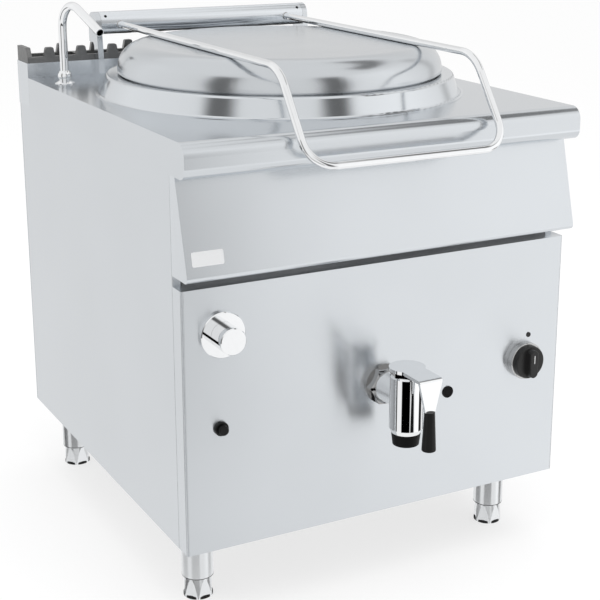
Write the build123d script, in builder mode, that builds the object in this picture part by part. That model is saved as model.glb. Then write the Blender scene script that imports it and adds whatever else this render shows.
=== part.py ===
"""Gas-heated steam jacketed kettle (boiling pan), 800 x 900 mm body, about 150 litres.

Millimetres, +Z up, +X to the operator's right, -Y towards the operator.
The origin is on the floor, below the middle of the overall width and depth.
"""
import os
from math import cos, radians, sin, sqrt

from build123d import *

os.makedirs("parts", exist_ok=True)

# ---------------------------------------------------------------- driving dimensions
# Overall body
worktop_width = 800
worktop_depth = 900
worktop_height = 887
cabinet_bottom = 145
panel_sheet = 1.5
seam_gap = 0.4
run_gap = 0.3
fold_gap = 0.5

# Worktop pressing
worktop_sheet = 2
apron_depth = 61
nose_radius = 24
nose_under_radius = 19
nose_return = 45

# Front of the cabinet
front_setback = 31
corner_return = 36
panel_corner_radius = 4
fascia_top_setback = 45.7
fascia_height = 173.6
fascia_gap = 19
fascia_lip_radius = 9

# Vents in the back panel
vent_length = 240
vent_width = 8
vent_pitch = 24
vent_count = 8

# Rear upstand and flue grille
upstand_depth = 72
upstand_height = 30
grille_rail_width = 10
grille_rail_height = 12
grille_tooth_height = 19
grille_tooth_base = 24
grille_tooth_top = 16
grille_tooth_pitch = 70
grille_tooth_inset = 50
grille_tooth_round = 4
grille_rear_pitch = 76
grille_rib_pitch = 140
grille_rib_width = 8

# Vessel and jacket
vessel_setback = 449
vessel_radius = 300
vessel_sheet = 2
vessel_knuckle = 8
rim_flange = 8
jacket_gap = 30
jacket_sheet = 2
jacket_floor_gap = 31
jacket_drop = 127

# Raised collar on the worktop
collar_foot_reach = 65
collar_wall_reach = 57
collar_top_reach = 43
collar_height = 38
collar_sheet = 2.5
collar_edge_radius = 6
collar_flare_radius = 5
collar_foot_edge = 0.6

# Lid
lid_overhang = 21
lid_sheet = 2
lid_rim_gap = 4
lid_height = 55
lid_edge_radius = 50
liner_inset = 10
liner_depth = 12
liner_fit = 0.2

# Lid handle, one bent rod
handle_rod_radius = 7
handle_half_width = 198
handle_bend_setback = 62
handle_bend_radius = 75
handle_bar_reach = 50
handle_bar_drop = 49
handle_corner_radius = 50

# Hinge
hinge_overhang = 6
hinge_rise = 9
hinge_tube_radius = 24
hinge_tube_wall = 2.5
hinge_tube_half = 240
hinge_axle_radius = 10
bush_length = 12
bush_fit = 0.05
bracket_thickness = 12
bracket_depth = 28
bracket_head_drop = 40
bracket_head_chamfer = 6
bracket_foot_width = 60
bracket_foot_height = 3
spring_length = 120
spring_wire = 5
spring_turns = 10

# Filling spout
spout_inset = 46
spout_upstand_gap = 103
spout_tube_radius = 8.5
spout_tube_wall = 1.5
spout_rise = 159
spout_bend_radius = 47
spout_reach = 152
spout_droop = 24.5
spout_swing = 10
spout_flange_radius = 21
spout_ball_radius = 14

# Water knob
water_inset = 75
water_drop = 85
rosette_radius = 41.5
rosette_thickness = 8
water_hub_radius = 24
water_hub_length = 40
stem_radius = 5
stem_hole_radius = 6.5

# Igniter button
igniter_inset = 70
igniter_z = 376
igniter_radius = 13
igniter_bezel_length = 6
igniter_button_radius = 9
igniter_button_stand = 9
igniter_travel = 5

# Sight port for the flame
sight_offset = 144
sight_z = 358
sight_radius = 11.5

# Control knob
control_inset = 84
control_z = 394
dial_radius = 36.5
dial_length = 13
knob_radius = 33
knob_length = 11
knob_grip_width = 21
knob_grip_length = 14

# Drain valve
drain_x = -3
drain_rise = 26
drain_pipe_radius = 24
drain_pipe_wall = 2
union_flats = 65
union_flange_radius = 38
union_length = 22
valve_out = 83
valve_radius = 31
valve_rise = 44
valve_drop = 65
valve_floor = 10
valve_port_radius = 16
mouth_length = 23
mouth_bore_radius = 19
plug_radius = 22
plug_fit = 0.05
plug_port_radius = 14
spindle_radius = 8
bonnet_flats = 54
bonnet_height = 8
lever_offset = 76
lever_thickness = 6
lever_rise = 15
lever_disc_radius = 33
lever_width = 46
lever_waist = 20
lever_bend = 5
lever_drop = 60
grip_length = 73
grip_top_radius = 9.5
grip_bottom_radius = 13

# Legs and levelling feet
leg_inset = 70
leg_front_setback = 149
leg_back_inset = 60
leg_radius = 30
leg_wall = 2
foot_height = 40
foot_gap = 2
foot_flats = 51
foot_top_radius = 25.3
foot_base_radius = 29
foot_stem_radius = 8
foot_stem_fit = 0.1
foot_travel = 40
leg_insert_height = 20
leg_plate_width = 86
leg_plate_thickness = 6

# Frame
frame_tube = 40
frame_wall = 3
post_size = 30
post_sheet = 2
front_rail_height = 40

# Firing
chamber_inset = 2
chamber_height = 160
chamber_sheet = 2
burner_count = 5
burner_pitch = 110
burner_radius = 16
burner_rise = 65
manifold_radius = 12
manifold_gap = 13
gas_valve_length = 70
gas_valve_half = 30
pipe_radius = 8
pipe_wall = 1.5
pipe_bend = 14
inlet_inset = 150
inlet_back_inset = 50
side_run_inset = 48
front_run_setback = 140
inlet_radius = 13.2
inlet_length = 22
flue_inset = 200
flue_wall = 2
flue_gap = 6

# ---------------------------------------------------------------- derived places
front_reach = valve_out + lever_offset + grip_bottom_radius - front_setback
front_y = (front_reach - worktop_depth) / 2
back_y = front_y + worktop_depth
half_width = worktop_width / 2
panel_half = half_width - panel_sheet
worktop_bottom = worktop_height - apron_depth
panel_top = worktop_bottom - seam_gap
panel_y = front_y + front_setback
seam_y = panel_y + corner_return
fascia_bottom_height = panel_top - fascia_height
front_panel_top = fascia_bottom_height - fascia_gap
front_panel_height = front_panel_top - cabinet_bottom
upstand_y = back_y - upstand_depth
upstand_top = worktop_height + upstand_height
frame_top = cabinet_bottom + frame_tube
post_half = panel_half - panel_sheet - fold_gap

# Kettle and lid
kettle_y = front_y + vessel_setback
collar_top = worktop_height + collar_height
collar_foot_radius = vessel_radius + collar_foot_reach
collar_wall_radius = vessel_radius + collar_wall_reach
collar_top_radius = vessel_radius + collar_top_reach
vessel_outer = vessel_radius + vessel_sheet
jacket_radius = vessel_radius + jacket_gap
jacket_outer = jacket_radius + jacket_sheet
jacket_bottom = frame_top + chamber_height
jacket_top = worktop_height - jacket_drop
vessel_floor = jacket_bottom + jacket_floor_gap
chamber_radius = jacket_radius - chamber_inset
lid_radius = vessel_radius + lid_overhang
liner_radius = vessel_radius - liner_inset
burner_height = frame_top + burner_rise
lid_rim_height = collar_top + lid_rim_gap
lid_top_height = lid_rim_height + lid_height
handle_bar_height = worktop_height - handle_bar_drop
hinge_y = upstand_y + hinge_overhang
hinge_height = lid_top_height + hinge_rise

# Fittings, legs and pipes
spout_x = spout_inset - half_width
spout_y = upstand_y - spout_upstand_gap
spout_top_height = worktop_height + spout_rise
water_x = water_inset - half_width
water_z = front_panel_top - water_drop
igniter_x = igniter_inset - half_width
control_x = half_width - control_inset
drain_z = vessel_floor + drain_rise
sight_x = drain_x + sight_offset
valve_y = panel_y - valve_out
valve_top = drain_z + valve_rise
valve_bottom = drain_z - valve_drop
lever_y = valve_y - lever_offset
lever_top = valve_top + lever_rise
grip_top = lever_top - lever_drop
grip_bottom = grip_top - grip_length
leg_x = half_width - leg_inset
inlet_x = half_width - inlet_inset
inlet_y = back_y - inlet_back_inset
side_run_x = half_width - side_run_inset
flue_half_width = half_width - flue_inset
hinge_plane = Plane((0, hinge_y, hinge_height), x_dir=(0, 1, 0), z_dir=(1, 0, 0))


def front_plane(x, y, z):
    """Sketch plane facing the operator: its normal is -Y, sketch X is +X, sketch Y is +Z."""
    return Plane((x, y, z), x_dir=(1, 0, 0), z_dir=(0, -1, 0))


def side_plane(x):
    """Sketch plane across the kettle: its normal is +X, sketch X is +Y, sketch Y is +Z."""
    return Plane((x, 0, 0), x_dir=(0, 1, 0), z_dir=(1, 0, 0))


def save(builder, name):
    """Label a finished piece and write its STEP file."""
    builder.part.label = name
    export_step(builder.part, f"parts/{name}.step")


# ---------------------------------------------------------------- shared shapes
def tube(axis_points, radii, outer, wall):
    """Bent tube along straight runs joined by arcs; a wall of 0 gives a solid rod."""
    with BuildPart() as bent:
        with BuildLine() as route:
            FilletPolyline(*axis_points, radius=radii)
        start = route.line @ 0
        with BuildSketch(Plane(origin=start, z_dir=route.line % 0)):
            Circle(outer)
            if wall:
                Circle(outer - wall, mode=Mode.SUBTRACT)
        sweep(path=route.line)
    return bent.part


# ---------------------------------------------------------------- worktop
def worktop_section(inset):
    """Section of the worktop pressing in Y-Z: flat top, round nose, return under the front."""
    rear = upstand_y - seam_gap - inset
    top = worktop_height - inset
    bottom = worktop_bottom + inset
    face = front_y + inset
    nose = nose_radius - inset
    under = nose_under_radius - inset
    with BuildSketch() as section:
        with BuildLine():
            Polyline((face + under, bottom), (rear, bottom), (rear, top), (face + nose, top))
            Line((face, top - nose), (face, bottom + under))
            CenterArc((face + nose, top - nose), nose, 90, 90)
            CenterArc((face + under, bottom + under), under, 180, 90)
        make_face()
    return section.sketch


with BuildPart() as worktop:
    with BuildSketch(side_plane(-half_width)):
        add(worktop_section(0))
    extrude(amount=worktop_width)
    with BuildSketch(side_plane(-half_width + worktop_sheet)):
        add(worktop_section(worktop_sheet))
    extrude(amount=worktop_width - 2 * worktop_sheet, mode=Mode.SUBTRACT)
    open_length = worktop_depth - upstand_depth - nose_return - worktop_sheet
    with BuildSketch(Plane.XY.offset(worktop_bottom)):
        with Locations((0, front_y + nose_return + open_length / 2)):
            Rectangle(worktop_width - 2 * worktop_sheet, open_length)
    extrude(amount=worktop_sheet, mode=Mode.SUBTRACT)
    with BuildSketch(Plane.XY.offset(worktop_height - worktop_sheet)):
        with Locations((0, kettle_y)):
            Circle(collar_wall_radius - collar_sheet)
        with Locations((spout_x, spout_y)):
            Circle(pipe_radius)
    extrude(amount=worktop_sheet, mode=Mode.SUBTRACT)
save(worktop, "worktop")

# ---------------------------------------------------------------- raised collar
with BuildPart() as collar:
    with BuildSketch(front_plane(0, kettle_y, 0)):
        with BuildLine():
            foot_top = worktop_height + collar_foot_edge
            inner_wall = collar_wall_radius - collar_sheet
            inner_top = collar_top_radius - collar_sheet
            FilletPolyline(
                (collar_foot_radius, foot_top),
                (collar_wall_radius, foot_top + collar_foot_edge),
                (collar_top_radius, collar_top),
                (vessel_outer, collar_top),
                radius=[collar_flare_radius, collar_edge_radius],
            )
            Line((vessel_outer, collar_top), (vessel_outer, collar_top - collar_sheet))
            FilletPolyline(
                (vessel_outer, collar_top - collar_sheet),
                (inner_top, collar_top - collar_sheet),
                (inner_wall, worktop_height),
                radius=[collar_edge_radius - collar_sheet],
            )
            Polyline(
                (inner_wall, worktop_height),
                (collar_foot_radius, worktop_height),
                (collar_foot_radius, foot_top),
            )
        make_face()
    revolve(axis=Axis((0, kettle_y, 0), (0, 0, 1)))
save(collar, "collar")

# ---------------------------------------------------------------- side panels
panel_return = 15
for side, name in ((-1, "side_panel_left"), (1, "side_panel_right")):
    with BuildPart() as side_panel:
        with BuildSketch(Plane.XY.offset(cabinet_bottom)):
            outer_x = side * panel_half
            inner_x = side * (panel_half - panel_return)
            start = seam_y + seam_gap
            end = back_y - panel_sheet
            with BuildLine() as fold:
                FilletPolyline(
                    (inner_x, start + panel_sheet / 2),
                    (outer_x - side * panel_sheet / 2, start + panel_sheet / 2),
                    (outer_x - side * panel_sheet / 2, end - panel_sheet / 2),
                    (inner_x, end - panel_sheet / 2),
                    radius=panel_sheet,
                )
            trace(fold.line, panel_sheet)
        extrude(amount=panel_top - cabinet_bottom)
    save(side_panel, name)

# ---------------------------------------------------------------- back panel
with BuildPart() as back_panel:
    with BuildSketch(front_plane(0, back_y, 0)):
        with Locations((0, (cabinet_bottom + panel_top) / 2)):
            Rectangle(2 * panel_half, panel_top - cabinet_bottom)
        with Locations((0, (cabinet_bottom + panel_top) / 2)):
            with GridLocations(0, vent_pitch, 1, vent_count):
                SlotOverall(vent_length, vent_width, mode=Mode.SUBTRACT)
    extrude(amount=panel_sheet)
save(back_panel, "back_panel")

# ---------------------------------------------------------------- front panel
with BuildPart() as front_panel:
    with BuildSketch(Plane.XY.offset(cabinet_bottom)):
        mid = panel_half - panel_sheet / 2
        with BuildLine() as fold:
            FilletPolyline(
                (-mid, seam_y),
                (-mid, panel_y + panel_sheet / 2),
                (mid, panel_y + panel_sheet / 2),
                (mid, seam_y),
                radius=panel_corner_radius,
            )
        trace(fold.line, panel_sheet)
    extrude(amount=front_panel_height)
    with BuildSketch(Plane.XY.offset(front_panel_top - panel_sheet)):
        with Locations((0, (panel_y + panel_sheet + seam_y) / 2)):
            Rectangle(2 * (panel_half - panel_sheet), corner_return - panel_sheet)
    extrude(amount=panel_sheet)
    with BuildSketch(front_plane(0, panel_y + 2 * panel_sheet, 0)):
        with Locations((drain_x, drain_z)):
            Circle(drain_pipe_radius + 1)
        with Locations((water_x, water_z), (control_x, control_z)):
            Circle(stem_hole_radius)
        with Locations((igniter_x, igniter_z)):
            Circle(igniter_button_radius + 2)
        with Locations((sight_x, sight_z)):
            Circle(sight_radius - 3)
    extrude(amount=3 * panel_sheet, mode=Mode.SUBTRACT)
save(front_panel, "front_panel")

# ---------------------------------------------------------------- slanted fascia
def fascia_section(inset):
    """Section of the fascia in Y-Z: leaning front, rolled lower lip, flat underside."""
    rear = seam_y
    slant_top = (front_y + fascia_top_setback + inset, panel_top - inset)
    lip = (front_y + inset, fascia_bottom_height + inset)
    with BuildSketch() as section:
        with BuildLine():
            Polyline((rear - inset, panel_top - inset), slant_top, lip, (rear - inset, lip[1]), close=True)
        make_face()
        corner = section.vertices().sort_by(Axis.X)[0]
        fillet(corner, fascia_lip_radius - inset)
    return section.sketch


with BuildPart() as fascia:
    with BuildSketch(side_plane(-panel_half)):
        add(fascia_section(0))
    extrude(amount=2 * panel_half)
    with BuildSketch(side_plane(-panel_half + panel_sheet)):
        add(fascia_section(panel_sheet))
    extrude(amount=2 * (panel_half - panel_sheet), mode=Mode.SUBTRACT)
save(fascia, "fascia")

# ---------------------------------------------------------------- rear upstand
with BuildPart() as upstand:
    with BuildSketch(Plane.XY.offset(worktop_bottom)):
        with Locations((0, (upstand_y + back_y) / 2)):
            Rectangle(worktop_width, upstand_depth)
    extrude(amount=upstand_top - worktop_bottom)
    with BuildSketch(Plane.XY.offset(worktop_bottom)):
        with Locations((0, (upstand_y + back_y) / 2)):
            Rectangle(worktop_width - 2 * panel_sheet, upstand_depth - 2 * panel_sheet)
    extrude(amount=upstand_top - worktop_bottom - panel_sheet, mode=Mode.SUBTRACT)
    with BuildSketch(Plane.XY.offset(upstand_top - panel_sheet)):
        with Locations((0, (upstand_y + back_y) / 2)):
            Rectangle(worktop_width - 4 * grille_rail_width, upstand_depth - 3 * grille_rail_width)
    extrude(amount=panel_sheet, mode=Mode.SUBTRACT)
save(upstand, "upstand")

# ---------------------------------------------------------------- cast flue grille
# The most demanding piece: two cast rails with staggered, tapered teeth, joined by cross ribs.
grille_top = upstand_top + grille_rail_height
tooth_top = grille_top + grille_tooth_height
grille_length = worktop_width - 2 * panel_sheet
grille_depth = upstand_depth - 2 * panel_sheet
rail_shift = (grille_depth - grille_rail_width) / 2
grille_y = (upstand_y + back_y) / 2


def grille_teeth(y, pitch, count):
    """Centred row of tapered teeth with rounded tops, standing on one rail."""
    with BuildPart() as row:
        with BuildSketch(front_plane(0, y + grille_rail_width / 2, grille_top)):
            for number in range(count):
                centre = (number - (count - 1) / 2) * pitch
                with BuildLine():
                    Polyline(
                        (centre - grille_tooth_base / 2, 0),
                        (centre + grille_tooth_base / 2, 0),
                        (centre + grille_tooth_top / 2, grille_tooth_height),
                        (centre - grille_tooth_top / 2, grille_tooth_height),
                        close=True,
                    )
                make_face()
            fillet(vertices().group_by(Axis.Y)[-1], grille_tooth_round)
        extrude(amount=grille_rail_width)
    return row.part


front_teeth = int((worktop_width - 2 * grille_tooth_inset) / grille_tooth_pitch) + 1
rear_teeth = 2 * int((half_width - 2 * grille_tooth_inset) / grille_rear_pitch + 1) + 1
rib_count = 2 * int(grille_length / 2 / grille_rib_pitch - 0.1) + 1
with BuildPart() as flue_grille:
    with BuildSketch(Plane.XY.offset(upstand_top)):
        with Locations((0, grille_y)):
            Rectangle(grille_length, grille_depth)
            Rectangle(
                grille_length - 2 * grille_rail_width,
                grille_depth - 2 * grille_rail_width,
                mode=Mode.SUBTRACT,
            )
            with GridLocations(grille_rib_pitch, 0, rib_count, 1):
                Rectangle(grille_rib_width, grille_depth - grille_rail_width)
    extrude(amount=grille_rail_height)
    add(grille_teeth(grille_y - rail_shift, grille_tooth_pitch, front_teeth))
    add(grille_teeth(grille_y + rail_shift, grille_rear_pitch, rear_teeth))
    with BuildSketch(side_plane(-grille_length / 2)):
        with BuildLine():
            Polyline(
                (grille_y - grille_depth / 2, grille_top),
                (grille_y + grille_depth / 2, grille_top),
                (grille_y + grille_depth / 2, tooth_top),
                (grille_y - grille_depth / 2 + grille_rail_width, tooth_top),
                close=True,
            )
        make_face()
    extrude(amount=grille_rail_width)
    mirror(about=Plane.YZ)
save(flue_grille, "flue_grille")

# ---------------------------------------------------------------- frame
leg_places = (
    ("front_left", -leg_x, front_y + leg_front_setback),
    ("front_right", leg_x, front_y + leg_front_setback),
    ("back_left", -leg_x, back_y - leg_back_inset),
    ("back_right", leg_x, back_y - leg_back_inset),
)
leg_bottom = foot_height + foot_gap
leg_spots = [(x, y) for name, x, y in leg_places]
with BuildPart() as base_frame:
    frame_front = seam_y + seam_gap + panel_sheet + fold_gap
    frame_back = back_y - 2 * panel_sheet - fold_gap
    frame_depth = frame_back - frame_front
    frame_mid_y = (frame_front + frame_back) / 2
    with BuildSketch(Plane.XY.offset(cabinet_bottom)):
        with Locations((0, frame_mid_y)):
            Rectangle(2 * post_half, frame_depth)
            Rectangle(2 * (post_half - frame_tube), frame_depth - 2 * frame_tube, mode=Mode.SUBTRACT)
        with Locations((-flue_half_width, frame_mid_y), (flue_half_width, frame_mid_y)):
            Rectangle(frame_tube, frame_depth - frame_tube)
    extrude(amount=frame_tube)
    with BuildSketch(Plane.XY.offset(cabinet_bottom)):
        with Locations((0, frame_mid_y)):
            Rectangle(2 * (post_half - frame_wall), frame_depth - 2 * frame_wall)
            Rectangle(
                2 * (post_half - frame_tube + frame_wall),
                frame_depth - 2 * (frame_tube - frame_wall),
                mode=Mode.SUBTRACT,
            )
        with Locations((-flue_half_width, frame_mid_y), (flue_half_width, frame_mid_y)):
            Rectangle(frame_tube - 2 * frame_wall, frame_depth - frame_tube)
    extrude(amount=frame_tube - frame_wall, mode=Mode.SUBTRACT)
    with BuildSketch(Plane.XY.offset(cabinet_bottom)):
        with Locations((-inlet_x, inlet_y), (inlet_x, inlet_y)):
            Circle(inlet_radius + 2)
    extrude(amount=frame_tube, mode=Mode.SUBTRACT)
    with BuildSketch(Plane.XY.offset(cabinet_bottom)):
        with Locations(*leg_spots):
            Rectangle(leg_plate_width, leg_plate_width)
    extrude(amount=leg_plate_thickness)
save(base_frame, "base_frame")

with BuildPart() as corner_posts:
    post_y_front = frame_front
    post_y_back = frame_back
    with BuildSketch(Plane.XY.offset(frame_top)):
        for side in (-1, 1):
            for post_y, inward in ((post_y_front, 1), (post_y_back, -1)):
                with Locations((side * (post_half - post_size / 2), post_y + inward * post_sheet / 2)):
                    Rectangle(post_size, post_sheet)
                with Locations((side * (post_half - post_sheet / 2), post_y + inward * post_size / 2)):
                    Rectangle(post_sheet, post_size)
    extrude(amount=panel_top - frame_top)
    # Rail across the front posts, closing the shadow gap below the fascia
    with BuildSketch(Plane.XY.offset(front_panel_top - frame_tube / 4)):
        with Locations((0, (seam_y + frame_front) / 2)):
            Rectangle(2 * (panel_half - panel_sheet - panel_return), frame_front - seam_y)
    extrude(amount=front_rail_height)
save(corner_posts, "corner_posts")

# ---------------------------------------------------------------- legs and feet
with BuildPart() as leg_tubes:
    with BuildSketch(Plane.XY.offset(leg_bottom)):
        with Locations(*leg_spots):
            Circle(leg_radius)
            Circle(leg_radius - leg_wall, mode=Mode.SUBTRACT)
    extrude(amount=cabinet_bottom - leg_bottom)
    with BuildSketch(Plane.XY.offset(leg_bottom)):
        with Locations(*leg_spots):
            Circle(leg_radius - leg_wall)
            Circle(foot_stem_radius + foot_stem_fit, mode=Mode.SUBTRACT)
    extrude(amount=leg_insert_height)
save(leg_tubes, "leg_tubes")

for name, x, y in leg_places:
    with BuildPart() as foot:
        with BuildSketch(front_plane(x, y, 0)):
            with BuildLine():
                Polyline(
                    (0, 0),
                    (foot_base_radius - 1, 0),
                    (foot_base_radius, 1),
                    (foot_top_radius, foot_height),
                    (foot_stem_radius, foot_height),
                    (foot_stem_radius, leg_bottom + leg_insert_height + foot_travel),
                    (0, leg_bottom + leg_insert_height + foot_travel),
                    close=True,
                )
            make_face()
        revolve(axis=Axis((x, y, 0), (0, 0, 1)))
        with BuildSketch(Plane((x, y, 0))):
            Circle(foot_base_radius + 5)
            RegularPolygon(foot_flats / 2, 6, major_radius=False, rotation=7, mode=Mode.SUBTRACT)
        extrude(amount=foot_height, mode=Mode.SUBTRACT)
    save(foot, f"foot_{name}")

# ---------------------------------------------------------------- vessel and jacket
with BuildPart() as vessel:
    with BuildSketch(front_plane(0, kettle_y, 0)):
        with BuildLine():
            knuckle_centre = (vessel_radius - vessel_knuckle, vessel_floor + vessel_knuckle)
            Line((0, vessel_floor), (vessel_radius - vessel_knuckle, vessel_floor))
            CenterArc(knuckle_centre, vessel_knuckle, 270, 90)
            Polyline(
                (vessel_radius, vessel_floor + vessel_knuckle),
                (vessel_radius, collar_top + vessel_sheet),
                (vessel_outer + rim_flange, collar_top + vessel_sheet),
                (vessel_outer + rim_flange, collar_top),
                (vessel_outer, collar_top),
                (vessel_outer, vessel_floor + vessel_knuckle),
            )
            CenterArc(knuckle_centre, vessel_knuckle + vessel_sheet, 270, 90)
            Polyline(
                (vessel_radius - vessel_knuckle, vessel_floor - vessel_sheet),
                (0, vessel_floor - vessel_sheet),
                (0, vessel_floor),
            )
        make_face()
    revolve(axis=Axis((0, kettle_y, 0), (0, 0, 1)))
    with BuildSketch(front_plane(drain_x, kettle_y, drain_z)):
        Circle(drain_pipe_radius)
    extrude(amount=vessel_outer + vessel_sheet, mode=Mode.SUBTRACT)
save(vessel, "vessel")

with BuildPart() as jacket:
    with BuildSketch(front_plane(0, kettle_y, 0)):
        with BuildLine():
            Polyline(
                (0, jacket_bottom),
                (jacket_outer, jacket_bottom),
                (jacket_outer, jacket_top),
                (vessel_outer, jacket_top),
                (vessel_outer, jacket_top - jacket_sheet),
                (jacket_radius, jacket_top - jacket_sheet),
                (jacket_radius, jacket_bottom + jacket_sheet),
                (0, jacket_bottom + jacket_sheet),
                close=True,
            )
        make_face()
    revolve(axis=Axis((0, kettle_y, 0), (0, 0, 1)))
    with BuildSketch(front_plane(drain_x, kettle_y, drain_z)):
        Circle(drain_pipe_radius)
    extrude(amount=jacket_outer + jacket_sheet, mode=Mode.SUBTRACT)
save(jacket, "jacket")

strainer_reach = 16
vessel_front = kettle_y - sqrt(vessel_radius**2 - (abs(drain_x) + drain_pipe_radius) ** 2)
with BuildPart() as drain_pipe:
    with BuildSketch(front_plane(drain_x, vessel_front + strainer_reach / 2, drain_z)):
        Circle(drain_pipe_radius)
        Circle(drain_pipe_radius - drain_pipe_wall, mode=Mode.SUBTRACT)
    extrude(amount=vessel_front + strainer_reach / 2 - panel_y)
save(drain_pipe, "drain_pipe")

with BuildPart() as strainer:
    with BuildSketch(front_plane(drain_x, vessel_front + strainer_reach, drain_z)):
        Circle(drain_pipe_radius - drain_pipe_wall)
        with PolarLocations(drain_pipe_radius - drain_pipe_wall - 7, 8):
            Circle(3, mode=Mode.SUBTRACT)
        Circle(3, mode=Mode.SUBTRACT)
    extrude(amount=2)
    with BuildSketch(front_plane(drain_x, vessel_front + strainer_reach - 2, drain_z)):
        Circle(drain_pipe_radius - drain_pipe_wall)
        Circle(drain_pipe_radius - drain_pipe_wall - 1.5, mode=Mode.SUBTRACT)
    extrude(amount=strainer_reach - 2)
save(strainer, "strainer")

# Pressure relief valve on the jacket's top ring
relief_angle = radians(-48)
relief_radius = (vessel_outer + jacket_outer) / 2
relief_x = relief_radius * cos(relief_angle)
relief_y = kettle_y + relief_radius * sin(relief_angle)
with BuildPart() as relief_valve:
    with BuildSketch(front_plane(relief_x, relief_y, jacket_top)):
        with BuildLine():
            Polyline((0, 0), (9, 0), (9, 14), (13, 18), (13, 40), (8, 46), (8, 58), (0, 58), close=True)
        make_face()
    revolve(axis=Axis((relief_x, relief_y, 0), (0, 0, 1)))
save(relief_valve, "relief_valve")

# ---------------------------------------------------------------- firing
chamber_floor = frame_top + chamber_sheet
pilot_x = burner_pitch / 2
flue_y = (upstand_y + back_y) / 2
flue_depth = upstand_depth - 2 * panel_sheet - 2 * flue_gap
flue_mouth_low = chamber_floor + frame_tube
flue_mouth_high = jacket_bottom - frame_tube / 2
with BuildPart() as combustion_chamber:
    with BuildSketch(front_plane(0, kettle_y, 0)):
        with BuildLine():
            Polyline(
                (0, frame_top),
                (chamber_radius, frame_top),
                (chamber_radius, jacket_bottom),
                (chamber_radius - chamber_sheet, jacket_bottom),
                (chamber_radius - chamber_sheet, chamber_floor),
                (0, chamber_floor),
                close=True,
            )
        make_face()
    revolve(axis=Axis((0, kettle_y, 0), (0, 0, 1)))
    with BuildSketch(front_plane(0, kettle_y + chamber_radius + 1, 0)):
        with Locations((0, (flue_mouth_low + flue_mouth_high) / 2)):
            Rectangle(2 * flue_half_width, flue_mouth_high - flue_mouth_low)
    extrude(amount=chamber_radius / 2, mode=Mode.SUBTRACT)
    with BuildSketch(front_plane(0, kettle_y, burner_height)):
        with GridLocations(burner_pitch, 0, burner_count, 1):
            Circle(pipe_radius)
        with Locations((pilot_x, 0)):
            Circle(pipe_radius)
    extrude(amount=chamber_radius + 1, mode=Mode.SUBTRACT)
save(combustion_chamber, "combustion_chamber")

with BuildPart() as flue_duct:
    mouth_height = flue_mouth_high - flue_mouth_low
    with BuildSketch(Plane.XY.offset(flue_mouth_low)):
        with Locations((0, flue_y)):
            Rectangle(2 * flue_half_width, flue_depth)
    extrude(amount=upstand_top - grille_rail_height - flue_mouth_low)
    with BuildSketch(front_plane(0, flue_y, flue_mouth_low + mouth_height / 2)):
        Rectangle(2 * flue_half_width, mouth_height)
    extrude(amount=flue_y - kettle_y)
    with BuildSketch(Plane.XY.offset(flue_mouth_low + flue_wall)):
        with Locations((0, flue_y)):
            Rectangle(2 * (flue_half_width - flue_wall), flue_depth - 2 * flue_wall)
    extrude(amount=upstand_top - flue_mouth_low, mode=Mode.SUBTRACT)
    with BuildSketch(front_plane(0, flue_y, flue_mouth_low + mouth_height / 2)):
        Rectangle(2 * (flue_half_width - flue_wall), mouth_height - 2 * flue_wall)
    extrude(amount=flue_y - kettle_y + 1, mode=Mode.SUBTRACT)
    with BuildSketch(Plane.XY.offset(flue_mouth_low - 1)):
        with Locations((0, kettle_y)):
            Circle(chamber_radius)
    extrude(amount=mouth_height + 2, mode=Mode.SUBTRACT)
save(flue_duct, "flue_duct")

chamber_inner = chamber_radius - chamber_sheet
rack_y = kettle_y - chamber_inner / 3
with BuildPart() as burners:
    for number in range(burner_count):
        burner_x = (number - (burner_count - 1) / 2) * burner_pitch
        reach = sqrt(chamber_inner**2 - (abs(burner_x) + burner_radius) ** 2)
        with BuildSketch(front_plane(burner_x, kettle_y + reach - frame_tube, burner_height)):
            Circle(burner_radius)
        extrude(amount=2 * reach - 2 * frame_tube)
        slots = int(2 * (reach - 2 * frame_tube) / 40)
        with BuildSketch(Plane.XY.offset(burner_height + burner_radius)):
            with Locations((burner_x, kettle_y)):
                with GridLocations(0, 40, 1, slots):
                    Rectangle(14, 3)
        extrude(amount=-burner_radius / 2, mode=Mode.SUBTRACT)
    rack_length = 2 * sqrt(chamber_inner**2 - (chamber_inner / 3 + chamber_sheet) ** 2) - 2 * chamber_sheet
    with BuildSketch(Plane.XY.offset(chamber_floor)):
        with Locations((0, rack_y), (0, 2 * kettle_y - rack_y)):
            Rectangle(rack_length, 2 * chamber_sheet)
    extrude(amount=burner_height - 0.9 * burner_radius - chamber_floor)
save(burners, "burners")

manifold_y = kettle_y - chamber_radius - manifold_gap - manifold_radius
manifold_half = burner_pitch * (burner_count - 1) / 2 + burner_radius
with BuildPart() as gas_manifold:
    with BuildSketch(side_plane(-manifold_half)):
        with Locations((manifold_y, burner_height)):
            Circle(manifold_radius)
    extrude(amount=control_x + manifold_half + manifold_radius)
    for number in range(burner_count):
        burner_x = (number - (burner_count - 1) / 2) * burner_pitch
        reach = sqrt(chamber_inner**2 - (abs(burner_x) + burner_radius) ** 2)
        with BuildSketch(front_plane(burner_x, kettle_y - reach + frame_tube, burner_height)):
            Circle(pipe_radius - pipe_wall)
        extrude(amount=kettle_y - reach + frame_tube - manifold_y)
    with BuildSketch(Plane.XY.offset(burner_height)):
        with Locations((control_x, manifold_y)):
            Circle(pipe_radius)
    extrude(amount=control_z - gas_valve_half - burner_height)
save(gas_manifold, "gas_manifold")

valve_back = panel_y + panel_sheet + stem_radius
with BuildPart() as gas_valve:
    with BuildSketch(front_plane(control_x, valve_back + gas_valve_length, control_z)):
        RectangleRounded(2 * gas_valve_half, 2 * gas_valve_half, 8)
    extrude(amount=gas_valve_length)
    with BuildSketch(front_plane(control_x, valve_back + stem_radius, control_z)):
        Circle(stem_radius + plug_fit)
    extrude(amount=stem_radius, mode=Mode.SUBTRACT)
save(gas_valve, "gas_valve")

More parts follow.
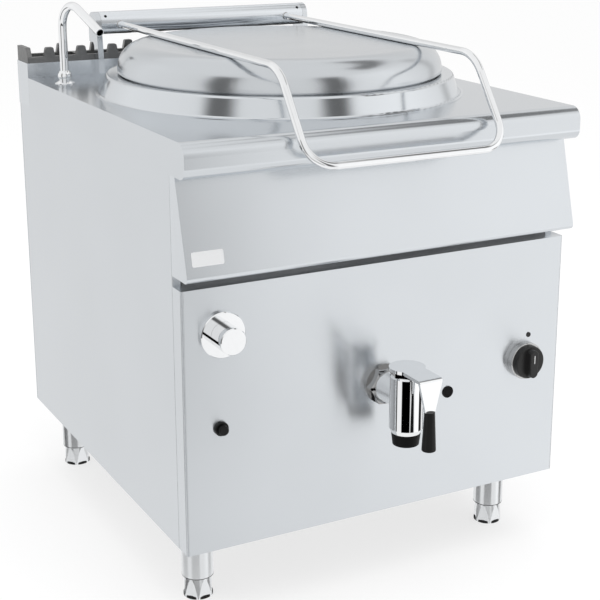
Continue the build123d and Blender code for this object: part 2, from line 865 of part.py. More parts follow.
front_run_y = front_y + front_run_setback
side_run_height = frame_top + frame_tube / 2


def service_pipe(side, route_end):
    """Supply pipe: male tail below the cabinet, run along the side, then on to route_end."""
    start = (side * inlet_x, inlet_y, cabinet_bottom)
    first = [
        start,
        (side * inlet_x, inlet_y, side_run_height),
        (side * side_run_x, inlet_y, side_run_height),
        (side * side_run_x, front_run_y, side_run_height),
    ]
    points = first + route_end
    with BuildPart() as pipe:
        add(tube(points, [pipe_bend] * (len(points) - 2), pipe_radius, pipe_wall))
        with BuildSketch(Plane(start)):
            Circle(inlet_radius)
            Circle(pipe_radius - pipe_wall, mode=Mode.SUBTRACT)
        extrude(amount=-inlet_length)
    return pipe.part


gas_route = [
    (control_x, front_run_y, side_run_height),
    (control_x, front_run_y, control_z),
    (control_x, valve_back + gas_valve_length, control_z),
]
with BuildPart() as gas_pipe:
    add(service_pipe(1, gas_route))
save(gas_pipe, "gas_pipe")

# Pilot burner, fed through the chamber wall beside the middle burner
with BuildPart() as pilot_burner:
    pilot_wall_y = kettle_y - chamber_radius
    with BuildSketch(front_plane(pilot_x, pilot_wall_y + 2 * frame_tube, burner_height)):
        Circle(pipe_radius - pipe_wall)
    extrude(amount=pilot_wall_y + 2 * frame_tube - manifold_y - manifold_radius)
    with BuildSketch(Plane((pilot_x, pilot_wall_y + 2 * frame_tube, burner_height))):
        Circle(pipe_radius)
    extrude(amount=2 * pipe_radius)
save(pilot_burner, "pilot_burner")

# ---------------------------------------------------------------- water: mixer valve and pipes
water_valve_radius = 22
with BuildPart() as water_valve:
    with BuildSketch(front_plane(water_x, front_run_y + water_valve_radius, water_z)):
        Circle(water_valve_radius)
    extrude(amount=front_run_y + water_valve_radius - valve_back)
    with BuildSketch(front_plane(water_x, valve_back + stem_radius, water_z)):
        Circle(stem_radius + plug_fit)
    extrude(amount=stem_radius, mode=Mode.SUBTRACT)
    with BuildSketch(Plane((water_x, front_run_y, water_z))):
        Circle(pipe_radius + pipe_wall)
    extrude(amount=water_valve_radius + pipe_radius, both=True)
save(water_valve, "water_valve")

water_port = water_valve_radius + pipe_radius
water_route = [(water_x, front_run_y, side_run_height), (water_x, front_run_y, water_z - water_port)]
with BuildPart() as water_supply_pipe:
    add(service_pipe(-1, water_route))
save(water_supply_pipe, "water_supply_pipe")

filling_height = jacket_top + frame_tube
filling_route = [
    (water_x, front_run_y, water_z + water_port),
    (water_x, front_run_y, filling_height),
    (spout_x, front_run_y, filling_height),
    (spout_x, spout_y, filling_height),
    (spout_x, spout_y, worktop_height),
]
with BuildPart() as filling_pipe:
    add(tube(filling_route, [pipe_bend] * (len(filling_route) - 2), pipe_radius, pipe_wall))
save(filling_pipe, "filling_pipe")

# ---------------------------------------------------------------- filling spout
ball_z = worktop_height + spout_ball_radius + 1
spout_foot_z = ball_z + spout_ball_radius - 2
socket_z = ball_z - 6
with BuildPart() as spout_base:
    with BuildSketch(front_plane(spout_x, spout_y, 0)):
        with BuildLine():
            Polyline(
                (pipe_radius, worktop_height),
                (spout_flange_radius, worktop_height),
                (spout_flange_radius, worktop_height + 1),
                (pipe_radius, worktop_height + 8),
                close=True,
            )
        make_face()
    revolve(axis=Axis((spout_x, spout_y, 0), (0, 0, 1)))
    with Locations((spout_x, spout_y, ball_z)):
        Sphere(spout_ball_radius)
    with BuildSketch(Plane((spout_x, spout_y, spout_foot_z))):
        Circle(2 * spout_ball_radius)
    extrude(amount=spout_ball_radius, mode=Mode.SUBTRACT)
    with BuildSketch(Plane((spout_x, spout_y, worktop_height))):
        Circle(2 * spout_ball_radius)
    extrude(amount=-spout_ball_radius, mode=Mode.SUBTRACT)
    with BuildSketch(Plane((spout_x, spout_y, worktop_height))):
        Circle(pipe_radius - pipe_wall)
    extrude(amount=2 * spout_ball_radius, mode=Mode.SUBTRACT)
    with BuildSketch(Plane((spout_x, spout_y, socket_z))):
        Circle(spout_tube_radius + plug_fit)
    extrude(amount=2 * spout_ball_radius, mode=Mode.SUBTRACT)
save(spout_base, "spout_base")

bend_z = spout_top_height - spout_bend_radius
droop = radians(spout_droop)
swing = radians(spout_swing)
straight = (spout_reach - spout_bend_radius * (1 + sin(droop))) / cos(droop)
arm_plane = Plane(
    (spout_x, spout_y, 0),
    x_dir=(-sin(swing), cos(swing), 0),
    z_dir=(cos(swing), sin(swing), 0),
)
with BuildPart() as spout_tube:
    with BuildLine(arm_plane) as spout_route:
        Line((0, socket_z + run_gap), (0, bend_z))
        CenterArc((-spout_bend_radius, bend_z), spout_bend_radius, 0, 90 + spout_droop)
        PolarLine(spout_route.line @ 1, straight, 180 + spout_droop)
    with BuildSketch(Plane((spout_x, spout_y, socket_z + run_gap))):
        Circle(spout_tube_radius)
        Circle(spout_tube_radius - spout_tube_wall, mode=Mode.SUBTRACT)
    sweep(path=spout_route.line)
save(spout_tube, "spout_tube")

# ---------------------------------------------------------------- lid
lid_flat_radius = lid_radius - lid_edge_radius
lid_turn_height = lid_top_height - lid_edge_radius
with BuildPart() as lid_shell:
    with BuildSketch(front_plane(0, kettle_y, 0)):
        with BuildLine():
            Line((0, lid_top_height), (lid_flat_radius, lid_top_height))
            CenterArc((lid_flat_radius, lid_turn_height), lid_edge_radius, 0, 90)
            Polyline(
                (lid_radius, lid_turn_height),
                (lid_radius, lid_rim_height),
                (lid_radius - lid_sheet, lid_rim_height),
                (lid_radius - lid_sheet, lid_turn_height),
            )
            CenterArc((lid_flat_radius, lid_turn_height), lid_edge_radius - lid_sheet, 0, 90)
            Polyline(
                (lid_flat_radius, lid_top_height - lid_sheet),
                (0, lid_top_height - lid_sheet),
                (0, lid_top_height),
            )
        make_face()
    revolve(axis=Axis((0, kettle_y, 0), (0, 0, 1)))
save(lid_shell, "lid_shell")

liner_height = collar_top + vessel_sheet + run_gap
liner_edge_height = 8
liner_edge_radius = lid_radius - lid_sheet - liner_fit
with BuildPart() as lid_liner:
    with BuildSketch(front_plane(0, kettle_y, 0)):
        with BuildLine():
            Polyline(
                (0, liner_height),
                (liner_edge_radius, liner_height),
                (liner_edge_radius, liner_height + liner_edge_height),
                (liner_edge_radius - lid_sheet, liner_height + liner_edge_height),
                (liner_edge_radius - lid_sheet, liner_height + lid_sheet),
                (0, liner_height + lid_sheet),
                close=True,
            )
        make_face()
        with BuildLine():
            Polyline(
                (liner_radius, liner_height - liner_depth),
                (liner_radius + lid_sheet, liner_height - liner_depth),
                (liner_radius + lid_sheet, liner_height),
                (liner_radius, liner_height),
                close=True,
            )
        make_face()
    revolve(axis=Axis((0, kettle_y, 0), (0, 0, 1)))
save(lid_liner, "lid_liner")

handle_z = lid_top_height + handle_rod_radius
bar_y = front_y - handle_bar_reach
bend_front_y = front_y + handle_bend_setback
with BuildPart() as lid_handle:
    with BuildLine() as handle_route:
        FilletPolyline(
            (-handle_half_width, hinge_y, handle_z),
            (-handle_half_width, bend_front_y, handle_z),
            (-handle_half_width, bar_y, handle_bar_height),
            (handle_half_width, bar_y, handle_bar_height),
            (handle_half_width, bend_front_y, handle_z),
            (handle_half_width, hinge_y, handle_z),
            radius=[handle_bend_radius, handle_corner_radius, handle_corner_radius, handle_bend_radius],
        )
    with BuildSketch(front_plane(-handle_half_width, hinge_y, handle_z)):
        Circle(handle_rod_radius)
    sweep(path=handle_route.line)
    with BuildSketch(hinge_plane.offset(-hinge_tube_half)):
        Circle(hinge_tube_radius)
    extrude(amount=2 * hinge_tube_half, mode=Mode.SUBTRACT)
save(lid_handle, "lid_handle")

# ---------------------------------------------------------------- hinge
with BuildPart() as hinge_tube:
    with BuildSketch(hinge_plane.offset(-hinge_tube_half)):
        Circle(hinge_tube_radius)
        Circle(hinge_tube_radius - hinge_tube_wall, mode=Mode.SUBTRACT)
    extrude(amount=2 * hinge_tube_half)
save(hinge_tube, "hinge_tube")

bracket_x = hinge_tube_half + run_gap
axle_half = bracket_x + bracket_thickness / 2
with BuildPart() as hinge_axle:
    with BuildSketch(hinge_plane.offset(-axle_half)):
        Circle(hinge_axle_radius)
    extrude(amount=2 * axle_half)
save(hinge_axle, "hinge_axle")

with BuildPart() as hinge_bushes:
    with BuildSketch(hinge_plane.offset(hinge_tube_half - bush_length)):
        Circle(hinge_tube_radius - hinge_tube_wall)
        Circle(hinge_axle_radius + bush_fit, mode=Mode.SUBTRACT)
    extrude(amount=bush_length)
    mirror(about=Plane.YZ)
save(hinge_bushes, "hinge_bushes")

# Balance springs: coils round the axle, drawn as joined turns
with BuildPart() as balance_springs:
    spring_end = hinge_tube_half - 2 * bush_length
    spring_pitch = spring_length / spring_turns
    spring_line = hinge_axle_radius + run_gap + spring_wire / 2
    with BuildSketch(Plane((0, hinge_y, hinge_height), x_dir=(1, 0, 0), z_dir=(0, -1, 0))):
        for turn in range(spring_turns):
            with Locations((spring_end - (turn + 0.5) * spring_pitch, spring_line)):
                Rectangle(spring_wire, spring_wire)
        with Locations((spring_end - spring_length / 2, spring_line)):
            Rectangle(spring_length - spring_pitch, spring_wire / 3)
    revolve(axis=Axis((0, hinge_y, hinge_height), (1, 0, 0)))
    mirror(about=Plane.YZ)
save(balance_springs, "balance_springs")

# Hinge brackets: a foot, a leg before the upstand and a round head over the grille
bracket_front = upstand_y - bracket_depth
bracket_rear = upstand_y - run_gap
head_front = hinge_y - hinge_tube_radius
head_rear = hinge_y + hinge_tube_radius
head_bottom = hinge_height - bracket_head_drop
with BuildPart() as hinge_brackets:
    with BuildSketch(side_plane(bracket_x)):
        with BuildLine():
            Polyline(
                (bracket_front, worktop_height),
                (bracket_rear, worktop_height),
                (bracket_rear, head_bottom - bracket_head_chamfer),
                (bracket_rear + bracket_head_chamfer, head_bottom),
                (head_rear, head_bottom),
                (head_rear, hinge_height),
                (head_front, hinge_height),
                close=True,
            )
        make_face()
        with Locations((hinge_y, hinge_height)):
            Circle(hinge_tube_radius)
    extrude(amount=bracket_thickness)
    with BuildSketch(Plane.XY.offset(worktop_height)):
        with Locations((bracket_x + bracket_thickness / 2, (bracket_front + bracket_rear) / 2)):
            Rectangle(bracket_foot_width, bracket_rear - bracket_front)
    extrude(amount=bracket_foot_height)
    with BuildSketch(hinge_plane.offset(bracket_x)):
        Circle(hinge_axle_radius)
    extrude(amount=bracket_thickness / 2, mode=Mode.SUBTRACT)
    mirror(about=Plane.YZ)
save(hinge_brackets, "hinge_brackets")

# ---------------------------------------------------------------- water knob
rosette_front = panel_y - rosette_thickness
with BuildPart() as water_rosette:
    with BuildSketch(front_plane(water_x, panel_y, water_z)):
        Circle(rosette_radius)
        Circle(stem_hole_radius, mode=Mode.SUBTRACT)
    extrude(amount=rosette_thickness)
    chamfer(edges().filter_by(GeomType.CIRCLE).group_by(Axis.Y)[0].sort_by(SortBy.RADIUS)[-1], 1.5)
save(water_rosette, "water_rosette")

hub_back = rosette_front - run_gap
with BuildPart() as water_knob:
    with BuildSketch(front_plane(water_x, hub_back, water_z)):
        Circle(water_hub_radius)
    extrude(amount=water_hub_length)
    chamfer(edges().filter_by(GeomType.CIRCLE).group_by(Axis.Y)[0], 1.5)
save(water_knob, "water_knob")

with BuildPart() as water_stem:
    with BuildSketch(front_plane(water_x, valve_back + stem_radius - run_gap, water_z)):
        Circle(stem_radius)
    extrude(amount=valve_back + stem_radius - run_gap - hub_back)
save(water_stem, "water_stem")

# ---------------------------------------------------------------- igniter button
igniter_front = panel_y - igniter_bezel_length
button_front = igniter_front - igniter_button_stand
button_length = igniter_button_stand + igniter_bezel_length + 12
igniter_well = button_length - igniter_button_stand + 2 * igniter_travel
with BuildPart() as igniter_bezel:
    with BuildSketch(front_plane(igniter_x, panel_y, igniter_z)):
        Circle(igniter_radius)
    extrude(amount=igniter_bezel_length)
    chamfer(edges().filter_by(GeomType.CIRCLE).group_by(Axis.Y)[0], 1.5)
    with BuildSketch(front_plane(igniter_x, igniter_front + igniter_well + 2, igniter_z)):
        Circle(igniter_button_radius + 2)
    extrude(amount=igniter_well)
    with BuildSketch(front_plane(igniter_x, igniter_front + igniter_well, igniter_z)):
        Circle(igniter_button_radius + run_gap)
    extrude(amount=igniter_well + 2, mode=Mode.SUBTRACT)
save(igniter_bezel, "igniter_bezel")

with BuildPart() as igniter_button:
    with BuildSketch(front_plane(igniter_x, button_front + button_length, igniter_z)):
        Circle(igniter_button_radius)
    extrude(amount=button_length)
    fillet(edges().filter_by(GeomType.CIRCLE).group_by(Axis.Y)[0], 1.5)
save(igniter_button, "igniter_button")

with BuildPart() as igniter_spring:
    spring_seat = igniter_front + igniter_well
    spring_room = spring_seat - (button_front + button_length) - igniter_travel
    coil = igniter_button_radius - 3
    with BuildSketch(front_plane(igniter_x, spring_seat, igniter_z)):
        Circle(coil)
        Circle(coil - 1.2, mode=Mode.SUBTRACT)
    extrude(amount=spring_room - run_gap)
save(igniter_spring, "igniter_spring")

# ---------------------------------------------------------------- sight port
with BuildPart() as sight_port:
    with BuildSketch(front_plane(sight_x, panel_y, sight_z)):
        Circle(sight_radius)
    extrude(amount=2)
    with BuildSketch(front_plane(sight_x, panel_y + frame_tube / 2, sight_z)):
        Circle(sight_radius - 3)
    extrude(amount=frame_tube / 2)
    with BuildSketch(front_plane(sight_x, panel_y + frame_tube / 2, sight_z)):
        Circle(sight_radius - 4.5)
    extrude(amount=frame_tube, mode=Mode.SUBTRACT)
save(sight_port, "sight_port")

# ---------------------------------------------------------------- control knob
dial_back = panel_y - run_gap
dial_front = dial_back - dial_length
with BuildPart() as control_dial:
    with BuildSketch(front_plane(control_x, dial_back, control_z)):
        Circle(dial_radius)
    extrude(amount=dial_length)
    fillet(edges().filter_by(GeomType.CIRCLE).group_by(Axis.Y)[0], 2)
save(control_dial, "control_dial")

with BuildPart() as control_knob:
    with BuildSketch(front_plane(control_x, dial_front, control_z)):
        Circle(knob_radius)
    extrude(amount=knob_length, taper=4)
    fillet(edges().filter_by(GeomType.CIRCLE).group_by(Axis.Y)[0], 3)
    with BuildSketch(front_plane(control_x, dial_front - knob_length + 1, control_z)):
        SlotOverall(2 * knob_radius - 8, knob_grip_width, rotation=90)
    extrude(amount=knob_grip_length, taper=6)
    fillet(faces().sort_by(Axis.Y)[0].edges(), 2)
save(control_knob, "control_knob")

with BuildPart() as control_stem:
    with BuildSketch(front_plane(control_x, valve_back + stem_radius - run_gap, control_z)):
        Circle(stem_radius)
    extrude(amount=valve_back + stem_radius - run_gap - dial_back)
save(control_stem, "control_stem")

# ---------------------------------------------------------------- drain valve
union_front = panel_y - union_length
with BuildPart() as drain_union:
    with BuildSketch(front_plane(drain_x, panel_y, drain_z)):
        Circle(union_flange_radius)
        Circle(drain_pipe_radius, mode=Mode.SUBTRACT)
    extrude(amount=4)
    with BuildSketch(front_plane(drain_x, panel_y - 4, drain_z)):
        RegularPolygon(union_flats / 2, 6, major_radius=False, rotation=0)
        Circle(drain_pipe_radius, mode=Mode.SUBTRACT)
    extrude(amount=union_length - 4)
    with BuildSketch(Plane((drain_x, panel_y, drain_z), x_dir=(1, 0, 0), z_dir=(0, 0, 1))):
        with BuildLine():
            Polyline(
                (union_flats / 2, -union_length),
                (union_flats / 2 + 14, -union_length + 8),
                (union_flats / 2 + 14, -union_length - 1),
                (union_flats / 2, -union_length - 1),
                close=True,
            )
        make_face()
    revolve(axis=Axis((drain_x, panel_y, drain_z), (0, 1, 0)), mode=Mode.SUBTRACT)
save(drain_union, "drain_union")

neck_radius = valve_radius - 3
plug_floor = valve_bottom + valve_floor
with BuildPart() as drain_body:
    with BuildSketch(Plane((drain_x, valve_y, valve_bottom))):
        Circle(valve_radius)
    extrude(amount=valve_top - valve_bottom)
    chamfer(edges().filter_by(GeomType.CIRCLE).group_by(Axis.Z)[-1], 3)
    chamfer(edges().filter_by(GeomType.CIRCLE).group_by(Axis.Z)[0], length=9, length2=4)
    with BuildSketch(front_plane(drain_x, union_front, drain_z)):
        Circle(neck_radius + 2)
    with BuildSketch(front_plane(drain_x, valve_y + valve_radius / 2, drain_z)):
        Circle(neck_radius - 4)
    loft()
    with BuildSketch(front_plane(drain_x, union_front + 1, drain_z)):
        Circle(valve_port_radius)
    extrude(amount=union_front - valve_y, mode=Mode.SUBTRACT)
    with BuildSketch(Plane((drain_x, valve_y, valve_bottom - 1))):
        Circle(valve_port_radius)
    extrude(amount=valve_floor + 2, mode=Mode.SUBTRACT)
    with BuildSketch(Plane((drain_x, valve_y, plug_floor))):
        Circle(plug_radius + plug_fit)
    extrude(amount=valve_top - plug_floor + 1, mode=Mode.SUBTRACT)
save(drain_body, "drain_valve_body")

with BuildPart() as drain_mouth:
    with BuildSketch(Plane((drain_x, valve_y, valve_bottom))):
        Circle(valve_radius - 4)
    extrude(amount=-mouth_length, taper=7)
    with BuildSketch(Plane((drain_x, valve_y, valve_bottom))):
        Circle(mouth_bore_radius)
    extrude(amount=-mouth_length, mode=Mode.SUBTRACT)
save(drain_mouth, "drain_mouth")

with BuildPart() as drain_bonnet:
    with BuildSketch(Plane((drain_x, valve_y, valve_top))):
        RegularPolygon(bonnet_flats / 2, 6, major_radius=False, rotation=15)
        Circle(spindle_radius + plug_fit, mode=Mode.SUBTRACT)
    extrude(amount=bonnet_height)
save(drain_bonnet, "drain_bonnet")

# Plug: hollow from below, with one side port that the lever turns to the inlet
lever_bottom = lever_top - lever_thickness
with BuildPart() as drain_plug:
    with BuildSketch(Plane((drain_x, valve_y, plug_floor + run_gap))):
        Circle(plug_radius)
    extrude(amount=valve_top - plug_floor - 2 * run_gap)
    with BuildSketch(Plane((drain_x, valve_y, valve_top - run_gap))):
        Circle(spindle_radius)
    extrude(amount=lever_bottom - valve_top + run_gap)
    with BuildSketch(Plane((drain_x, valve_y, plug_floor))):
        Circle(plug_port_radius)
    extrude(amount=drain_z - plug_floor, mode=Mode.SUBTRACT)
    with BuildSketch(side_plane(drain_x)):
        with Locations((valve_y, drain_z)):
            Circle(plug_port_radius)
    extrude(amount=plug_radius + 1, mode=Mode.SUBTRACT)
    with Locations((drain_x, valve_y, drain_z)):
        Sphere(plug_port_radius, mode=Mode.SUBTRACT)
save(drain_plug, "drain_plug")

# Lever: a round cap over the nut with a tongue bent down to the grip
with BuildPart() as drain_lever:
    tongue_length = lever_offset + lever_thickness / 2
    with BuildSketch(Plane((drain_x, valve_y, lever_bottom))):
        Circle(lever_disc_radius)
        with Locations((0, -tongue_length / 2)):
            Rectangle(lever_width, tongue_length)
    extrude(amount=lever_thickness)
    with BuildSketch(front_plane(drain_x, lever_y + lever_thickness / 2, 0)):
        with BuildLine():
            Polyline(
                (-lever_waist / 2, grip_top),
                (lever_waist / 2, grip_top),
                (lever_width / 2, lever_bottom),
                (lever_width / 2, lever_top),
                (-lever_width / 2, lever_top),
                (-lever_width / 2, lever_bottom),
                close=True,
            )
        make_face()
    extrude(amount=lever_thickness)
    fillet(edges().filter_by(Axis.X).group_by(Axis.Z)[-1].sort_by(Axis.Y)[0], lever_bend)
save(drain_lever, "drain_lever")

with BuildPart() as drain_grip:
    with BuildSketch(Plane((drain_x, lever_y, grip_bottom))):
        Circle(grip_bottom_radius)
    with BuildSketch(Plane((drain_x, lever_y, grip_top))):
        Circle(grip_top_radius)
    loft()
    fillet(edges().filter_by(GeomType.CIRCLE).group_by(Axis.Z)[0], 2)
save(drain_grip, "drain_grip")
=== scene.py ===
"""Looks of the steam jacketed kettle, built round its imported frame. Metres, +Z up, front towards -Y."""
import math

import bmesh
import bpy
from mathutils import Matrix, Vector


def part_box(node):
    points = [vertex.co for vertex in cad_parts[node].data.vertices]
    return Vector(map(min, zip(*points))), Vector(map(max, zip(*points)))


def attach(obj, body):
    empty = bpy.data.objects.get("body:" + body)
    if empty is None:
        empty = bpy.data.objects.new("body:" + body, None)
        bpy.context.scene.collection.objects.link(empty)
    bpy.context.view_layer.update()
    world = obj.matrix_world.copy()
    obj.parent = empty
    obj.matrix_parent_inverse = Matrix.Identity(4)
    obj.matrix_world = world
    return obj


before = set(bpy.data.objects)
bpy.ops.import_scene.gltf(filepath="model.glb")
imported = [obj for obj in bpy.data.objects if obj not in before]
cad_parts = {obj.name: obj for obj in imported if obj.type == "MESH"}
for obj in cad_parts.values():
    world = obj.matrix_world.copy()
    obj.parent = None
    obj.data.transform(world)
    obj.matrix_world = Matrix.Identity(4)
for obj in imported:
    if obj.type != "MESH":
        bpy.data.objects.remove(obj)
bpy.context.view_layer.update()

CABINET = "cabinet"

# ---------------------------------------------------------------- camera
IMAGE_SIDE = 600
FOCAL_PIXELS = 1381.43
CENTRE_PIXEL = Vector((330.12, 267.81))
CAMERA_AT = Vector((-1.2434, -2.3897, 1.3079))
CAMERA_YAW = 0.505
CAMERA_PITCH = 0.28
CAMERA_ROLL = 0.005
SENSOR_WIDTH = 36.0


def add_camera():
    """Camera at the viewing angle, with a small shift for the framing."""
    data = bpy.data.cameras.new("camera")
    data.sensor_width = SENSOR_WIDTH
    data.lens = FOCAL_PIXELS * SENSOR_WIDTH / IMAGE_SIDE
    data.shift_x = (IMAGE_SIDE / 2 - CENTRE_PIXEL.x) / IMAGE_SIDE
    data.shift_y = (CENTRE_PIXEL.y - IMAGE_SIDE / 2) / IMAGE_SIDE
    camera = bpy.data.objects.new("camera", data)
    bpy.context.scene.collection.objects.link(camera)
    forward = Vector((
        math.sin(CAMERA_YAW) * math.cos(CAMERA_PITCH),
        math.cos(CAMERA_YAW) * math.cos(CAMERA_PITCH),
        -math.sin(CAMERA_PITCH),
    ))
    level_right = Vector((math.cos(CAMERA_YAW), -math.sin(CAMERA_YAW), 0))
    level_up = level_right.cross(forward)
    right = level_right * math.cos(CAMERA_ROLL) + level_up * math.sin(CAMERA_ROLL)
    up = level_up * math.cos(CAMERA_ROLL) - level_right * math.sin(CAMERA_ROLL)
    turn = Matrix((right, up, -forward)).transposed()
    camera.matrix_world = Matrix.Translation(CAMERA_AT) @ turn.to_4x4()
    bpy.context.scene.camera = camera


add_camera()

# ---------------------------------------------------------------- studio
FLOOR_HALF = 14.0
FLOOR_GREY = (0.3, 0.3, 0.3, 1.0)
FLOOR_LIGHT = 0.71
WHITE = (1.0, 1.0, 1.0, 1.0)
CEILING = (0.74, 0.74, 0.74, 1.0)
FLOOR_GLOW = (0.77, 0.77, 0.77, 1.0)
DARK_SKYLIGHT = (0.16, 0.16, 0.16, 1.0)


def add_floor():
    """Plain pale floor, left out of the reflections."""
    bm = bmesh.new()
    bmesh.ops.create_grid(bm, x_segments=1, y_segments=1, size=FLOOR_HALF)
    mesh = bpy.data.meshes.new("floor")
    bm.to_mesh(mesh)
    bm.free()
    floor = bpy.data.objects.new("floor", mesh)
    bpy.context.scene.collection.objects.link(floor)
    material = bpy.data.materials.new("pale_floor")
    material.use_nodes = True
    shader = material.node_tree.nodes["Principled BSDF"]
    shader.inputs["Base Color"].default_value = FLOOR_GREY
    shader.inputs["Roughness"].default_value = 1.0
    shader.inputs["Specular IOR Level"].default_value = 0.0
    shader.inputs["Emission Color"].default_value = WHITE
    shader.inputs["Emission Strength"].default_value = FLOOR_LIGHT
    mesh.materials.append(material)
    floor.visible_glossy = False


# Each pair is an azimuth in degrees, from the front towards the right, and the wall's brightness there
LOW_WALLS = [
    (-180, 0.70), (-146, 0.70), (-141, 0.0), (-98, 0.0), (-95, 0.75), (-66, 0.75), (-63, 0.0), (-10, 0.0),
    (-6, 0.78), (20, 0.76), (42, 1.0), (57, 0.9), (60, 0.02), (82, 0.02), (86, 0.75), (180, 0.70),
]
HIGH_WALLS = [
    (-180, 0.62), (-140, 0.78), (-82, 0.72), (-74, 0.12), (-62, 0.12), (-54, 0.72), (-2, 0.72), (6, 0.10),
    (17, 0.10), (25, 0.82), (60, 0.90), (98, 0.74), (106, 0.45), (114, 0.70), (150, 0.60), (180, 0.62),
]
# Dark skylight to the right, which draws the thin lines along round edges and rods
SKYLIGHT_WIDTH = [(-180, 0.0), (50, 0.0), (62, 1.0), (122, 1.0), (134, 0.0), (180, 0.0)]
STUDIO_STRENGTH = 1.3
# Heights, as the upward part of a direction, at which one zone of the room goes over into the next
FLOOR_TO_LOW = (-0.46, -0.43)
LOW_TO_HIGH = (-0.31, -0.27)
HIGH_TO_CEILING = (0.55, 0.68)
SKYLIGHT_START = (0.72, 0.77)
SKYLIGHT_END = (0.84, 0.89)
HALF_TURN = 180


def wall_ramp(tree, azimuth, stops):
    """Colour ramp of grey levels round the horizon."""
    node = tree.nodes.new("ShaderNodeValToRGB")
    tree.links.new(azimuth, node.inputs["Fac"])
    ramp = node.color_ramp.elements
    for angle, level in stops:
        place = (angle + HALF_TURN) / (2 * HALF_TURN)
        if angle == -HALF_TURN:
            stop = ramp[0]
        elif angle == HALF_TURN:
            stop = ramp[-1]
        else:
            stop = ramp.new(place)
        stop.color = (level, level, level, 1.0)
    return node.outputs["Color"]


def height_step(tree, height, rise):
    """Smooth step from 0 to 1 as the direction goes through a pair of heights."""
    node = tree.nodes.new("ShaderNodeMapRange")
    node.interpolation_type = "SMOOTHSTEP"
    node.inputs["From Min"].default_value = rise[0]
    node.inputs["From Max"].default_value = rise[1]
    tree.links.new(height, node.inputs["Value"])
    return node.outputs["Result"]


def blend(tree, factor, first, second):
    """Colour mix; first and second are sockets or plain colours."""
    node = tree.nodes.new("ShaderNodeMix")
    node.data_type = "RGBA"
    tree.links.new(factor, node.inputs["Factor"])
    for label, value in (("A", first), ("B", second)):
        if isinstance(value, tuple):
            node.inputs[label].default_value = value
        else:
            tree.links.new(value, node.inputs[label])
    return node.outputs["Result"]


def times(tree, first, second):
    """Product of two values."""
    node = tree.nodes.new("ShaderNodeMath")
    node.operation = "MULTIPLY"
    for index, value in enumerate((first, second)):
        if isinstance(value, float):
            node.inputs[index].default_value = value
        else:
            tree.links.new(value, node.inputs[index])
    return node.outputs["Value"]


def add_world():
    """Soft studio: white to the camera, and white walls with dark gaps in the reflections."""
    world = bpy.data.worlds.new("studio")
    bpy.context.scene.world = world
    world.use_nodes = True
    tree = world.node_tree
    tree.nodes.clear()
    link = tree.links.new
    where = tree.nodes.new("ShaderNodeTexCoord")
    apart = tree.nodes.new("ShaderNodeSeparateXYZ")
    link(where.outputs["Generated"], apart.inputs["Vector"])
    height = apart.outputs["Z"]
    angle = tree.nodes.new("ShaderNodeMath")
    angle.operation = "ARCTAN2"
    link(apart.outputs["X"], angle.inputs[0])
    link(times(tree, apart.outputs["Y"], -1.0), angle.inputs[1])
    turn = tree.nodes.new("ShaderNodeMapRange")
    turn.inputs["From Min"].default_value = -math.pi
    turn.inputs["From Max"].default_value = math.pi
    link(angle.outputs["Value"], turn.inputs["Value"])
    azimuth = turn.outputs["Result"]
    low = wall_ramp(tree, azimuth, LOW_WALLS)
    high = wall_ramp(tree, azimuth, HIGH_WALLS)
    lower = blend(tree, height_step(tree, height, FLOOR_TO_LOW), FLOOR_GLOW, low)
    walls = blend(tree, height_step(tree, height, LOW_TO_HIGH), lower, high)
    room = blend(tree, height_step(tree, height, HIGH_TO_CEILING), walls, CEILING)
    skylight_width = wall_ramp(tree, azimuth, SKYLIGHT_WIDTH)
    skylight = times(tree, height_step(tree, height, SKYLIGHT_START), skylight_width)
    skylight_end = height_step(tree, height, SKYLIGHT_END)
    dark_room = blend(tree, skylight, room, DARK_SKYLIGHT)
    above = blend(tree, skylight_end, dark_room, room)
    studio = tree.nodes.new("ShaderNodeBackground")
    studio.inputs["Strength"].default_value = STUDIO_STRENGTH
    link(above, studio.inputs["Color"])
    plain = tree.nodes.new("ShaderNodeBackground")
    plain.inputs["Color"].default_value = WHITE
    path = tree.nodes.new("ShaderNodeLightPath")
    choose = tree.nodes.new("ShaderNodeMixShader")
    link(path.outputs["Is Camera Ray"], choose.inputs["Fac"])
    link(studio.outputs["Background"], choose.inputs[1])
    link(plain.outputs["Background"], choose.inputs[2])
    out = tree.nodes.new("ShaderNodeOutputWorld")
    link(choose.outputs["Shader"], out.inputs["Surface"])


KETTLE_CENTRE = Vector((0.0, 0.0, 0.5))


def add_light(name, at, width, height, watts):
    """Large soft box turned to the kettle, itself left out of the reflections."""
    data = bpy.data.lights.new(name, "AREA")
    data.shape = "RECTANGLE"
    data.size = width
    data.size_y = height
    data.energy = watts
    light = bpy.data.objects.new(name, data)
    light.location = at
    light.rotation_euler = (KETTLE_CENTRE - Vector(at)).to_track_quat("-Z", "Y").to_euler()
    light.visible_glossy = False
    bpy.context.scene.collection.objects.link(light)


add_floor()
add_world()
add_light("top_soft_box", at=(0.3, -0.6, 3.6), width=3.2, height=3.2, watts=60.0)
add_light("left_soft_box", at=(-3.2, -1.6, 2.2), width=1.6, height=2.4, watts=12.0)
bpy.context.scene.view_settings.view_transform = "Standard"

# ---------------------------------------------------------------- shared shader effects


def group(name, inputs, outputs):
    """Empty shader node group with named sockets; gives its tree, input node and output node."""
    tree = bpy.data.node_groups.new(name, "ShaderNodeTree")
    for label, kind, default in inputs:
        socket = tree.interface.new_socket(label, in_out="INPUT", socket_type=kind)
        if default is not None:
            socket.default_value = default
    for label, kind in outputs:
        tree.interface.new_socket(label, in_out="OUTPUT", socket_type=kind)
    return tree, tree.nodes.new("NodeGroupInput"), tree.nodes.new("NodeGroupOutput")


